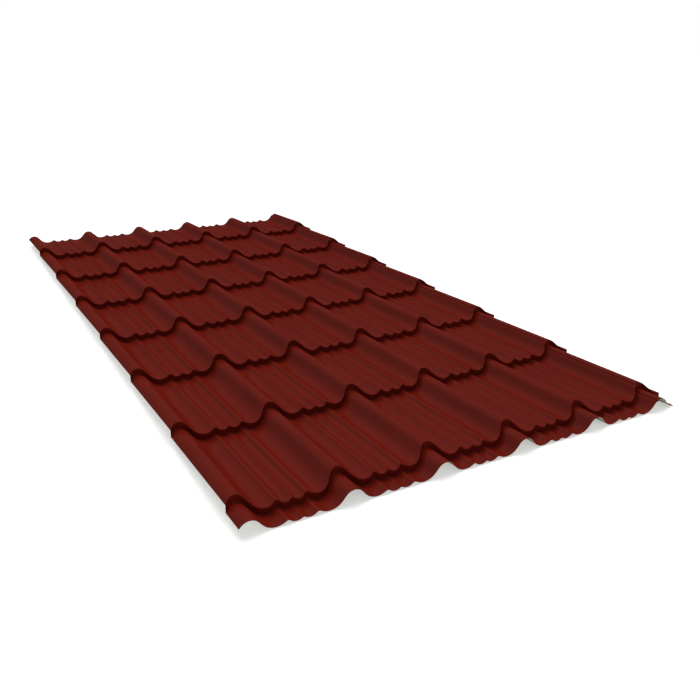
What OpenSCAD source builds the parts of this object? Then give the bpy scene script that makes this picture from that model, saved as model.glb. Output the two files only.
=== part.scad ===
// Metal tile sheet for a pitched roof: one piece of thin coated steel, rolled into waves
// and pressed into steps. X runs across the waves, Y runs up the roof from the eaves end
// to the ridge end, and Z points up. The sheet lies on the feet of its steps at Z = 0.

/* [Sheet] */
// Thickness of the coated steel
sheet_thick = 0.5; // [0.4:0.1:1]
// Waves between the first crest and the last crest
wave_count = 5; // [1:1:5]
// Pressed steps along the sheet
step_count = 7; // [1:1:7]

/* [Wave] */
// Distance from crest to crest
wave_pitch = 230; // [226:1:240]
// Height of a crest above the bottom of the pan
crest_h = 32; // [30:0.5:34]
// Radius over the top of a crest
crest_r = 24.5; // [22:0.5:25]
// Radius of the broad trough at the foot of a crest
trough_r = 38; // [36:0.5:38]

/* [Pan ribs] */
// Height of the two outer ribs
outer_rib_h = 7.3; // [7:0.1:8]
// Height of the rib in the middle of the pan
middle_rib_h = 4.4; // [4.2:0.1:5]
// Distance from the middle rib to each outer rib
rib_spacing = 34.2; // [33:0.2:35]
// Distance from an outer rib to the broad trough next to it
trough_offset = 24.8; // [24:0.2:25.6]
// Distance from an outer rib to the narrow trough next to it
narrow_offset = 19.4; // [19:0.1:20]

/* [Steps] */
// Distance from step to step, which is the spacing of the battens
step_spacing = 350; // [300:5:400]
// Height of each step
step_h = 18; // [12:0.5:30]
// Run of a step towards the ridge for each millimetre of wave height
step_lean = 0.95; // [0:0.05:1.2]

/* [Edges] */
// Length of sheet in front of the first step, measured in the pan
eaves_reach = 50; // [20:1:120]
// Length of sheet behind the last step, measured in the pan
ridge_reach = 300; // [120:1:330]
// Width of sheet beyond the first crest
lap_reach = 22; // [20:0.5:30]
// Width of sheet beyond the last crest
underlap_reach = 55; // [40:0.5:55]

/* [Capillary groove] */
// Distance from the last crest to the near edge of the groove on its pan side
groove_inset = 8.8; // [8:0.2:10]
// Run of the groove's steep wall
groove_wall = 2.2; // [1.6:0.2:3]
// Width of the groove's level floor
groove_floor = 5.2; // [3:0.2:6]

/* [Hidden] */

half_pitch = wave_pitch / 2;
outer_rib_x = half_pitch - rib_spacing;
trough_x = outer_rib_x - trough_offset;
narrow_x = outer_rib_x + narrow_offset;

// Two arcs that touch, one over the hump and one in the trough, have radii with this sum.
function radii_sum(run, rise) = (run * run + rise * rise) / (2 * rise);
outer_rib_r = radii_sum(trough_offset, outer_rib_h) - trough_r;
narrow_r = radii_sum(narrow_offset, outer_rib_h) - outer_rib_r;
middle_rib_r = radii_sum(half_pitch - narrow_x, middle_rib_h) - narrow_r;

// Each fold is an arc: [x, z of the centre, radius, 1 over or -1 under, facets in, facets out].
folds = [
    [0, crest_h - crest_r, crest_r, 1, 0, 3],
    [trough_x, trough_r, trough_r, -1, 4, 2],
    [outer_rib_x, outer_rib_h - outer_rib_r, outer_rib_r, 1, 1, 1],
    [narrow_x, narrow_r, narrow_r, -1, 2, 2],
    [half_pitch, middle_rib_h - middle_rib_r, middle_rib_r, 1, 1, 0],
];

// Slope of the straight flank that joins fold a to fold b.
function flank_slope(a, b) = let (run = b[0] - a[0], rise = b[1] - a[1])
    atan2(rise, run) - a[3] * asin(min(1, (a[2] + b[2]) / norm([run, rise])));

// The point of a fold where the sheet has this slope.
function fold_point(fold, slope) =
    [fold[0] - fold[3] * fold[2] * sin(slope), fold[1] + fold[3] * fold[2] * cos(slope)];

// The points of a fold, from its slope on the way in, over the level, to its slope out.
function fold_points(fold, slope_in, slope_out) = concat(
    [for (i = [0:1:fold[4] - 1]) fold_point(fold, slope_in * (1 - i / fold[4]))],
    [fold_point(fold, 0)],
    [for (i = [1:1:fold[5]]) fold_point(fold, slope_out * i / fold[5])]);

slopes = concat([0], [for (i = [1:len(folds) - 1]) flank_slope(folds[i - 1], folds[i])], [0]);
half_wave_all = [for (i = [0:len(folds) - 1]) each fold_points(folds[i], slopes[i], slopes[i + 1])];
half_wave = [for (i = [0:len(half_wave_all) - 1])
    if (i == 0 || norm(half_wave_all[i] - half_wave_all[i - 1]) > 0.3) half_wave_all[i]];
whole_wave = concat(half_wave,
    [for (i = [len(half_wave) - 2:-1:1]) [wave_pitch - half_wave[i][0], half_wave[i][1]]]);
all_waves = [for (n = [-1:wave_count]) each [for (p = whole_wave) p + [n * wave_pitch, 0]]];

// The groove is a notch in the last crest: level floor first, then a steep wall up to the arc.
last_crest_x = wave_count * wave_pitch;
function crest_z(x) = crest_h - crest_r + sqrt(crest_r * crest_r - x * x);
groove_end = -groove_inset;
groove_corner = groove_end - groove_wall;
groove_start = groove_corner - groove_floor;
groove = [[groove_start, crest_z(groove_start)], [groove_corner, crest_z(groove_start)],
    [groove_end, crest_z(groove_end)]];

// The section of the sheet's upper face, cut to the sheet's width.
left_x = -lap_reach;
right_x = last_crest_x + underlap_reach;
function stretch(from, to) = [for (p = all_waves) if (p[0] > from + 0.5 && p[0] < to - 0.5) p];
section = concat(
    [[left_x, lookup(left_x, all_waves)]],
    stretch(left_x, last_crest_x + groove_start),
    [for (p = groove) p + [last_crest_x, 0]],
    stretch(last_crest_x + groove_end, right_x),
    [[right_x, lookup(right_x, all_waves)]]);
columns = len(section);

function slope_after(i) = let (a = section[i], b = section[i + 1]) atan2(b[1] - a[1], b[0] - a[0]);
function slope_in(i) = slope_after(max(i - 1, 0));
function slope_out(i) = slope_after(min(i, columns - 2));
function mean_slope(i) = (slope_in(i) + slope_out(i)) / 2;
function mitre(i) = sheet_thick / cos((slope_out(i) - slope_in(i)) / 2);

// The same section on the underside, one thickness away.
under_section = [for (i = [0:columns - 1])
    section[i] + mitre(i) * [sin(mean_slope(i)), -cos(mean_slope(i))]];

// Where a step crosses a column, measured along Y from where it crosses the pan.
step_run = [for (p = section) step_lean * p[1]];
under_step_run = [for (i = [0:columns - 1]) let (m = mean_slope(i))
    step_lean * (section[i][1] + mitre(i) * sin(m) * tan(m))
    + sheet_thick * sqrt(1 + pow(step_lean * tan(m), 2))];

// Each tile course falls from its own lip to the foot of the next step.
function fall(course, y) = step_h * (course + 1 - y / step_spacing);
rear_y = (step_count - 1) * step_spacing + ridge_reach;

// One row of points: [course, step or -1 for a cut edge, y of a cut edge].
rows = concat(
    [[-1, -1, -eaves_reach]],
    [for (k = [0:step_count - 1]) each [[k - 1, k, 0], [k, k, 0]]],
    [[step_count - 1, -1, rear_y]]);

function row_points(row, line, run) = [for (i = [0:columns - 1])
    let (y = row[1] < 0 ? row[2] : row[1] * step_spacing + run[i])
    [line[i][0], y, line[i][1] + fall(row[0], y)]];

upper_points = [for (row = rows) each row_points(row, section, step_run)];
under_points = [for (row = rows) each row_points(row, under_section, under_step_run)];
centre = [(left_x + right_x) / 2, (rear_y - eaves_reach) / 2, min([for (p = under_points) p[2]])];
layer = len(rows) * columns;

// Four corners of one patch, clockwise from above.
function patch(r, c) = let (a = r * columns + c) [a, a + columns, a + columns + 1, a + 1];
function below(face) = [for (i = [len(face) - 1:-1:0]) face[i] + layer];
function rim(a, b) = [a, b, b + layer, a + layer];

sheet_faces = concat(
    [for (r = [0:len(rows) - 2], c = [0:columns - 2]) each [patch(r, c), below(patch(r, c))]],
    [for (c = [0:columns - 2]) each
        [rim(c, c + 1), rim(layer - columns + c + 1, layer - columns + c)]],
    [for (r = [0:len(rows) - 2]) each
        [rim((r + 1) * columns, r * columns),
         rim((r + 1) * columns - 1, (r + 2) * columns - 1)]]);

module roofing_sheet() {
    color([0.42, 0.12, 0.10])
        translate(-centre)
            polyhedron(concat(upper_points, under_points), sheet_faces, convexity = 12);
}

roofing_sheet();
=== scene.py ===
"""Metal tile roofing sheet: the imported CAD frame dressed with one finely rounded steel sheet.

The sheet follows the same named sizes as the CAD source. Its arcs are smooth here, the bends
at the lips and feet of the steps are rounded, and it has a top coat, a backing coat and cut
edges. X runs across the waves, Y runs up the roof and Z points up.
"""

import math

import bpy
import numpy as np
from mathutils import Matrix, Vector


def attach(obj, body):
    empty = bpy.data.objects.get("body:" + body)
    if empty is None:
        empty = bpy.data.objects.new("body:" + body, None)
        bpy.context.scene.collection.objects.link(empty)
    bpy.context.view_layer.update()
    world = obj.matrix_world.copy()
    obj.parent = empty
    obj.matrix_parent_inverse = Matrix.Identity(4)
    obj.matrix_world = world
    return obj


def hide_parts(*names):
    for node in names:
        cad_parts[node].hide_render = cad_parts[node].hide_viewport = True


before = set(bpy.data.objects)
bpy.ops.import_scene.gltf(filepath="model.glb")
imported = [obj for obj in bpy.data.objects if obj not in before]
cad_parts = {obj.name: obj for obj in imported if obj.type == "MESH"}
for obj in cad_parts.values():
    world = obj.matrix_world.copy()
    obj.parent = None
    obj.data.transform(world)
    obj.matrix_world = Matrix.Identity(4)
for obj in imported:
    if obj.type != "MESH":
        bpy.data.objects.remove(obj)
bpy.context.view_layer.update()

MM = 0.001

# Sheet, in millimetres like all sizes down to the mesh
SHEET_THICK = 0.5
WAVE_COUNT = 5
STEP_COUNT = 7
# Wave
WAVE_PITCH = 230.0
CREST_H = 32.0
CREST_R = 24.5
TROUGH_R = 38.0
# Ribs in the pan
OUTER_RIB_H = 7.3
MIDDLE_RIB_H = 4.4
RIB_SPACING = 34.2
TROUGH_OFFSET = 24.8
NARROW_OFFSET = 19.4
# Steps
STEP_SPACING = 350.0
STEP_H = 18.0
STEP_LEAN = 0.95
FALL = STEP_H / STEP_SPACING
# Edges
EAVES_REACH = 50.0
RIDGE_REACH = 300.0
LAP_REACH = 22.0
UNDERLAP_REACH = 55.0
# Capillary groove on the pan side of the last crest
GROOVE_INSET = 8.8
GROOVE_WALL = 2.2
GROOVE_FLOOR = 5.2
GROOVE_LEAD = 1.5
# Rounding that the CAD solid leaves out
LIP_BEND_R = 2.0
FOOT_BEND_R = 1.6
GROOVE_BEND_R = 1.1

# Fineness of the mesh: parts of a bend, longest part of an arc, least distance between two
# points of a wave, and from them to an edge or the groove
BEND_PARTS = 4
ARC_PART = math.radians(6.5)
POINT_GAP = 0.15
EDGE_GAP = 0.4

# Finish: scales are noise blobs per metre, depths are metres, colours are linear RGB
CLOUD_SCALE = 5.0
GRAIN_SCALE = 1100.0
GRAIN_SHARE = 0.65
GRAIN_DEPTH = 0.00005
GRAIN_BUMP = 0.5
GRAIN_ROUGHNESS = (0.45, 0.60)
COAT_IOR = 3.0
COAT_ROUGHNESS = 0.22
RED_DARK = (0.118, 0.0083, 0.0041)
RED_LIGHT = (0.156, 0.0113, 0.0057)
RED_GLOSS = 0.024
GREY_DARK = (0.62, 0.60, 0.465)
GREY_LIGHT = (0.72, 0.70, 0.545)
GREY_GLOSS = 0.03
WIPE_SCALE = 420.0
WIPE_DEPTH = 0.0001
WIPE_BUMP = 0.5
WIPE_ROUGHNESS = (0.62, 0.38)
EDGE_DARK = (0.075, 0.012, 0.010)
EDGE_LIGHT = (0.17, 0.075, 0.062)

# Studio, in metres
FLOOR_SIZE = 80.0
FLOOR_WHITE = 0.90
FLOOR_ROUGHNESS = 0.9
FLOOR_GLOW = 0.45
FLOOR_GLOW_START = 1.6
FLOOR_GLOW_END = 5.0
DOME_LIGHT = 0.34
KEY_WAY = (1.0, 1.8, 3.2)
KEY_SPREAD = math.radians(65)
KEY_LIGHT = 2.18

# Camera: place in metres, heading from +Y towards +X, lens and sensor in millimetres
CAMERA_PLACE = (-1.0468, -2.39914, 0.89599)
CAMERA_HEADING = math.radians(31.265)
CAMERA_DIP = math.radians(22.1156)
CAMERA_ROLL = math.radians(1.564)
CAMERA_LENS = 39.93
CAMERA_SENSOR = 36.0
CAMERA_SHIFT = (-0.0289, -0.0002)


# ---------------------------------------------------------------- section across the waves


def radii_sum(run, rise):
    """Two arcs that touch, one over the hump and one in the trough, have radii with this sum."""
    return (run * run + rise * rise) / (2 * rise)


def wave_folds():
    """The folds of half a wave: (x, z of the centre, radius, 1 over or -1 under)."""
    half = WAVE_PITCH / 2
    outer_x = half - RIB_SPACING
    narrow_x = outer_x + NARROW_OFFSET
    outer_r = radii_sum(TROUGH_OFFSET, OUTER_RIB_H) - TROUGH_R
    narrow_r = radii_sum(NARROW_OFFSET, OUTER_RIB_H) - outer_r
    middle_r = radii_sum(half - narrow_x, MIDDLE_RIB_H) - narrow_r
    return [
        (0.0, CREST_H - CREST_R, CREST_R, 1),
        (outer_x - TROUGH_OFFSET, TROUGH_R, TROUGH_R, -1),
        (outer_x, OUTER_RIB_H - outer_r, outer_r, 1),
        (narrow_x, narrow_r, narrow_r, -1),
        (half, MIDDLE_RIB_H - middle_r, middle_r, 1),
    ]


def flank_angle(a, b):
    """Slope of the straight flank that touches fold a and fold b."""
    run, rise = b[0] - a[0], b[1] - a[1]
    reach = min(1.0, (a[2] + b[2]) / math.hypot(run, rise))
    return math.atan2(rise, run) - a[3] * math.asin(reach)


def on_fold(fold, slope):
    """The point [x, z, slope] where a fold has this slope."""
    x, z, radius, side = fold
    return (x - side * radius * math.sin(slope), z + side * radius * math.cos(slope), slope)


def fold_arc(fold, start, end):
    """Points [x, z, slope] along a fold from one slope to another, start left out."""
    parts = max(1, math.ceil(abs(end - start) / ARC_PART))
    return [on_fold(fold, start + (end - start) * i / parts) for i in range(1, parts + 1)]


def half_wave():
    """Points [x, z, slope] from a crest to the middle of the pan."""
    folds = wave_folds()
    slopes = [0.0] + [flank_angle(a, b) for a, b in zip(folds, folds[1:])] + [0.0]
    points = []
    for fold, start, end in zip(folds, slopes, slopes[1:]):
        points += [on_fold(fold, start)] + fold_arc(fold, start, 0.0) + fold_arc(fold, 0.0, end)
    kept = points[:1]
    for p in points[1:]:
        if math.hypot(p[0] - kept[-1][0], p[1] - kept[-1][1]) > POINT_GAP:
            kept.append(p)
    return np.array(kept)


def all_waves():
    """Points [x, z, slope] of every wave, and of one more on each side."""
    half = half_wave()
    back = half[-2:0:-1] * (-1, 1, -1) + (WAVE_PITCH, 0, 0)
    wave = np.vstack([half, back])
    return np.vstack([wave + (n * WAVE_PITCH, 0, 0) for n in range(-1, WAVE_COUNT + 1)])


def rounded(corners, radii):
    """Points [x, z, slope] round each inner corner of an open line, its two ends left out."""
    corners = [np.array(c, float) for c in corners]
    rows = []
    for before, corner, after, radius in zip(corners, corners[1:], corners[2:], radii):
        way_in = (corner - before) / np.linalg.norm(corner - before)
        way_out = (after - corner) / np.linalg.norm(after - corner)
        turn = math.atan2(way_in[0] * way_out[1] - way_in[1] * way_out[0], way_in @ way_out)
        start = math.atan2(way_in[1], way_in[0])
        side = math.copysign(1.0, turn)
        touch = corner - way_in * radius * math.tan(abs(turn) / 2)
        centre = touch + side * radius * np.array([-way_in[1], way_in[0]])
        for i in range(BEND_PARTS + 1):
            angle = start + turn * i / BEND_PARTS
            arm = side * radius * np.array([math.sin(angle), -math.cos(angle)])
            rows.append((*(centre + arm), angle))
    return rows


def groove_rows():
    """Points [x, z, slope] of the groove in the last crest: a level floor, then a steep wall."""
    def on_crest(x):
        return (x, CREST_H - CREST_R + math.sqrt(CREST_R ** 2 - x * x))

    end = -GROOVE_INSET
    corner = end - GROOVE_WALL
    start = corner - GROOVE_FLOOR
    corners = [on_crest(start - GROOVE_LEAD), on_crest(start), (corner, on_crest(start)[1]),
               on_crest(end), on_crest(end + GROOVE_LEAD)]
    return np.array(rounded(corners, [GROOVE_BEND_R] * 3)) + (WAVE_COUNT * WAVE_PITCH, 0, 0)


def section():
    """Points [x, z, slope] of the sheet's upper line, from its left edge to its right edge."""
    waves, groove = all_waves(), groove_rows()
    left, right = -LAP_REACH, WAVE_COUNT * WAVE_PITCH + UNDERLAP_REACH

    def edge(x):
        return [(x, np.interp(x, waves[:, 0], waves[:, 1]), np.interp(x, waves[:, 0], waves[:, 2]))]

    keep = waves[(waves[:, 0] > left + EDGE_GAP) & (waves[:, 0] < right - EDGE_GAP)]
    first = keep[keep[:, 0] < groove[0, 0] - EDGE_GAP]
    last = keep[keep[:, 0] > groove[-1, 0] + EDGE_GAP]
    return np.vstack([edge(left), first, groove, last, edge(right)])


# ---------------------------------------------------------------- profile along the steps


def profile():
    """The sheet's line along a pan: rows [y, z, angle, how far the row leans with the waves]."""
    rear = (STEP_COUNT - 1) * STEP_SPACING + RIDGE_REACH
    corners = [(-EAVES_REACH, EAVES_REACH * FALL)]
    for k in range(STEP_COUNT):
        corners += [(k * STEP_SPACING, 0.0), (k * STEP_SPACING, STEP_H)]
    corners.append((rear, STEP_H * STEP_COUNT - rear * FALL))
    bends = rounded(corners, [FOOT_BEND_R, LIP_BEND_R] * STEP_COUNT)
    slope = -math.atan(FALL)
    per_step = 2 * (BEND_PARTS + 1)
    rows = [(*corners[0], slope)]
    for k in range(STEP_COUNT + 1):
        step = bends[k * per_step:(k + 1) * per_step]
        front = rows[-1]
        back = step[0] if step else corners[-1]
        rows.append(((front[0] + back[0]) / 2, (front[1] + back[1]) / 2, slope))
        rows += step
    rows.append((*corners[-1], slope))
    rows = np.array(rows)
    lean = np.interp(rows[:, 0], [-EAVES_REACH, bends[0][0], bends[-1][0], rear], [0, 1, 1, 0])
    return np.column_stack([rows, lean])


# ---------------------------------------------------------------- the sheet as a mesh


def sheet_grid():
    """Upper and lower points in metres, and upper normals: arrays (rows, columns, 3)."""
    across, along = section(), profile()
    x, z, slope = across.T[:, None, :]
    y0, z0, angle, lean = along.T[:, :, None]
    shift = lean * STEP_LEAN * z
    upper = np.stack(np.broadcast_arrays(x, y0 + shift, z + z0 - FALL * shift), -1)
    rise = np.tan(slope)
    tilt = lean * STEP_LEAN * rise
    way_x = np.stack(np.broadcast_arrays(1.0, tilt, rise - FALL * tilt), -1)
    way_y = np.stack(np.broadcast_arrays(0.0 * x, np.cos(angle), np.sin(angle)), -1)
    normal = np.cross(way_x, way_y)
    normal /= np.linalg.norm(normal, axis=-1, keepdims=True)
    lower = upper - SHEET_THICK * normal
    # The ends and the sides are cut upright
    for side in (0, -1):
        lower[side, :, 1] = upper[side, :, 1]
        lower[:, side, 0] = upper[:, side, 0]
    middle_x = (across[0, 0] + across[-1, 0]) / 2
    middle_y = (along[0, 0] + along[-1, 0]) / 2
    floor_z = -SHEET_THICK * (1 + FALL)
    origin = np.array([middle_x, middle_y, floor_z])
    return (upper - origin) * MM, (lower - origin) * MM, normal


# Material slots of the sheet
TOP, BACK, EDGE = 0, 1, 2


def sheet_object(name):
    """The sheet as one closed mesh, with exact normals on both coats and a flat rim."""
    upper, lower, normal = sheet_grid()
    rows, columns = upper.shape[:2]
    points = np.vstack([upper.reshape(-1, 3), lower.reshape(-1, 3)])
    normals = np.vstack([normal.reshape(-1, 3), -normal.reshape(-1, 3)])
    index = np.arange(rows * columns).reshape(rows, columns)
    under = index + rows * columns

    def quads(a, b, c, d):
        return np.stack([a, b, c, d], -1).reshape(-1, 4)

    top = quads(index[:-1, :-1], index[:-1, 1:], index[1:, 1:], index[1:, :-1])
    back = quads(under[:-1, :-1], under[1:, :-1], under[1:, 1:], under[:-1, 1:])
    rim = np.vstack([
        quads(index[0, :-1], under[0, :-1], under[0, 1:], index[0, 1:]),
        quads(index[-1, 1:], under[-1, 1:], under[-1, :-1], index[-1, :-1]),
        quads(index[1:, 0], under[1:, 0], under[:-1, 0], index[:-1, 0]),
        quads(index[:-1, -1], under[:-1, -1], under[1:, -1], index[1:, -1]),
    ])
    faces = np.vstack([top, back, rim])
    slots = np.repeat([TOP, BACK, EDGE], [len(top), len(back), len(rim)])
    mesh = bpy.data.meshes.new(name)
    mesh.from_pydata(points.tolist(), [], faces.tolist())
    mesh.polygons.foreach_set("material_index", slots)
    mesh.polygons.foreach_set("use_smooth", slots != EDGE)
    mesh.update()
    # A normal of zero leaves the rim's corner to Blender
    rim_normals = np.zeros((rim.size, 3))
    mesh.normals_split_custom_set(
        np.vstack([normals[top.ravel()], normals[back.ravel()], rim_normals]).tolist())
    piece = bpy.data.objects.new(name, mesh)
    bpy.context.scene.collection.objects.link(piece)
    return piece


# ---------------------------------------------------------------- materials


def material(name):
    """A new node material, its node tree, its shader, and object coordinates to hang textures on."""
    made = bpy.data.materials.new(name)
    made.use_nodes = True
    tree = made.node_tree
    shader = tree.nodes["Principled BSDF"]
    place = tree.nodes.new("ShaderNodeTexCoord").outputs["Object"]
    return made, tree, shader, place


def noise(tree, place, per_metre, detail, roughness):
    """Noise whose blobs are about 1 / per_metre in size."""
    node = tree.nodes.new("ShaderNodeTexNoise")
    node.inputs["Scale"].default_value = per_metre
    node.inputs["Detail"].default_value = detail
    node.inputs["Roughness"].default_value = roughness
    tree.links.new(place, node.inputs["Vector"])
    return node.outputs["Fac"]


def spread(tree, value, low, high):
    """The middle range of a noise, 0.3 to 0.7, stretched over low to high."""
    node = tree.nodes.new("ShaderNodeMapRange")
    node.inputs["From Min"].default_value = 0.3
    node.inputs["From Max"].default_value = 0.7
    node.inputs["To Min"].default_value = low
    node.inputs["To Max"].default_value = high
    tree.links.new(value, node.inputs["Value"])
    return node.outputs["Result"]


def blended(tree, share, a, b):
    """Value a with this share of value b."""
    node = tree.nodes.new("ShaderNodeMix")
    node.inputs["Factor"].default_value = share
    tree.links.new(a, node.inputs["A"])
    tree.links.new(b, node.inputs["B"])
    return node.outputs["Result"]


def mixed(tree, factor, a, b):
    """A colour that goes from a to b as the factor goes from 0 to 1."""
    node = tree.nodes.new("ShaderNodeMix")
    node.data_type = "RGBA"
    node.inputs["A"].default_value = (*a, 1)
    node.inputs["B"].default_value = (*b, 1)
    tree.links.new(factor, node.inputs["Factor"])
    return node.outputs["Result"]


def bumped(tree, height, distance, strength):
    """Normals bent by a height, where a height of 1 stands for this distance."""
    node = tree.nodes.new("ShaderNodeBump")
    node.inputs["Distance"].default_value = distance
    node.inputs["Strength"].default_value = strength
    tree.links.new(height, node.inputs["Height"])
    return node.outputs["Normal"]


def coat(name, dark, light, gloss):
    """A baked polyester coat, its tone varied by a fine wrinkle grain and by slow clouds.

    Its gloss is low and hardly grows at a grazing view, so it is a thin coat of high IOR.
    """
    made, tree, shader, place = material(name)
    shader.inputs["Specular IOR Level"].default_value = 0.0
    shader.inputs["Coat Weight"].default_value = gloss
    shader.inputs["Coat IOR"].default_value = COAT_IOR
    shader.inputs["Coat Roughness"].default_value = COAT_ROUGHNESS
    cloud = noise(tree, place, CLOUD_SCALE, detail=3.0, roughness=0.5)
    grain = noise(tree, place, GRAIN_SCALE, detail=3.0, roughness=0.6)
    tone = spread(tree, blended(tree, GRAIN_SHARE, cloud, grain), 0.0, 1.0)
    tree.links.new(mixed(tree, tone, dark, light), shader.inputs["Base Color"])
    tree.links.new(spread(tree, grain, *GRAIN_ROUGHNESS), shader.inputs["Roughness"])
    normal = bumped(tree, grain, GRAIN_DEPTH, GRAIN_BUMP)
    tree.links.new(normal, shader.inputs["Normal"])
    tree.links.new(normal, shader.inputs["Coat Normal"])
    return made


def cut_edge(name):
    """The cut edge: the coats wiped over a line of zinc-coated steel."""
    made, tree, shader, place = material(name)
    wiped = noise(tree, place, WIPE_SCALE, detail=4.0, roughness=0.7)
    tone = spread(tree, wiped, 0.0, 1.0)
    tree.links.new(mixed(tree, tone, EDGE_DARK, EDGE_LIGHT), shader.inputs["Base Color"])
    tree.links.new(spread(tree, wiped, *WIPE_ROUGHNESS), shader.inputs["Roughness"])
    tree.links.new(bumped(tree, wiped, WIPE_DEPTH, WIPE_BUMP), shader.inputs["Normal"])
    return made


sheet = sheet_object("tile_sheet")
sheet.data.materials.append(coat("red_top_coat", RED_DARK, RED_LIGHT, RED_GLOSS))
sheet.data.materials.append(coat("grey_backing_coat", GREY_DARK, GREY_LIGHT, GREY_GLOSS))
sheet.data.materials.append(cut_edge("cut_edge"))
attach(sheet, "root")
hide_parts("roofing_sheet")


# ---------------------------------------------------------------- floor, light and camera


def seen_directly(tree):
    """1 for a ray from the camera, or one that a shiny or clear surface sends on, else 0."""
    path = tree.nodes.new("ShaderNodeLightPath")
    value = path.outputs["Is Camera Ray"]
    for kind in ("Is Glossy Ray", "Is Transmission Ray"):
        either = tree.nodes.new("ShaderNodeMath")
        either.operation = "MAXIMUM"
        tree.links.new(value, either.inputs[0])
        tree.links.new(path.outputs[kind], either.inputs[1])
        value = either.outputs["Value"]
    return value


def floor_material(name):
    """White paint that glows where it is seen directly: a little near the sheet, fully far off."""
    made, tree, shader, place = material(name)
    shader.inputs["Base Color"].default_value = (FLOOR_WHITE, FLOOR_WHITE, FLOOR_WHITE, 1)
    shader.inputs["Roughness"].default_value = FLOOR_ROUGHNESS
    shader.inputs["Specular IOR Level"].default_value = 0.0
    shader.inputs["Emission Color"].default_value = (1, 1, 1, 1)
    distance = tree.nodes.new("ShaderNodeVectorMath")
    distance.operation = "LENGTH"
    tree.links.new(place, distance.inputs[0])
    glow = tree.nodes.new("ShaderNodeMapRange")
    glow.interpolation_type = "SMOOTHSTEP"
    glow.inputs["From Min"].default_value = FLOOR_GLOW_START
    glow.inputs["From Max"].default_value = FLOOR_GLOW_END
    glow.inputs["To Min"].default_value = FLOOR_GLOW
    glow.inputs["To Max"].default_value = 1.0
    tree.links.new(distance.outputs["Value"], glow.inputs["Value"])
    seen = tree.nodes.new("ShaderNodeMath")
    seen.operation = "MULTIPLY"
    tree.links.new(glow.outputs["Result"], seen.inputs[0])
    tree.links.new(seen_directly(tree), seen.inputs[1])
    tree.links.new(seen.outputs["Value"], shader.inputs["Emission Strength"])
    return made


def floor_object(name, size):
    """A level white square of this size, its middle at the origin."""
    mesh = bpy.data.meshes.new(name)
    half = size / 2
    mesh.from_pydata([(-half, -half, 0), (half, -half, 0), (half, half, 0), (-half, half, 0)],
                     [], [(0, 1, 2, 3)])
    made = bpy.data.objects.new(name, mesh)
    bpy.context.scene.collection.objects.link(made)
    mesh.materials.append(floor_material("white_floor"))
    return made


def white_surround(strength):
    """White where it is seen directly, and an even dome of light of this strength."""
    world = bpy.data.worlds.new("studio")
    bpy.context.scene.world = world
    world.use_nodes = True
    tree = world.node_tree
    seen = tree.nodes.new("ShaderNodeMix")
    seen.inputs["A"].default_value = strength
    seen.inputs["B"].default_value = 1.0
    tree.links.new(seen_directly(tree), seen.inputs["Factor"])
    background = tree.nodes["Background"]
    background.inputs["Color"].default_value = (1, 1, 1, 1)
    tree.links.new(seen.outputs["Result"], background.inputs["Strength"])


def soft_key(name, way, spread_angle, strength):
    """A wide soft light from this direction, the same all over the sheet, with no glare."""
    lamp = bpy.data.lights.new(name, "SUN")
    lamp.angle = spread_angle
    lamp.energy = strength
    made = bpy.data.objects.new(name, lamp)
    made.visible_glossy = False
    made.location = way
    made.rotation_mode = "QUATERNION"
    made.rotation_quaternion = (-Vector(way)).to_track_quat("-Z", "Y")
    bpy.context.scene.collection.objects.link(made)


def photo_camera(name):
    """The photograph's view: from the eaves end, left of the sheet and above it."""
    lens = bpy.data.cameras.new(name)
    lens.sensor_width = CAMERA_SENSOR
    lens.lens = CAMERA_LENS
    lens.shift_x, lens.shift_y = CAMERA_SHIFT
    heading = Matrix.Rotation(-CAMERA_HEADING, 4, "Z")
    tip = Matrix.Rotation(math.pi / 2 - CAMERA_DIP, 4, "X")
    roll = Matrix.Rotation(CAMERA_ROLL, 4, "Z")
    camera = bpy.data.objects.new(name, lens)
    camera.matrix_world = Matrix.Translation(CAMERA_PLACE) @ heading @ tip @ roll
    bpy.context.scene.collection.objects.link(camera)
    bpy.context.scene.camera = camera


floor = floor_object("floor", FLOOR_SIZE)
white_surround(DOME_LIGHT)
soft_key("key_light", KEY_WAY, KEY_SPREAD, KEY_LIGHT)
photo_camera("camera")
bpy.context.scene.view_settings.view_transform = "Standard"
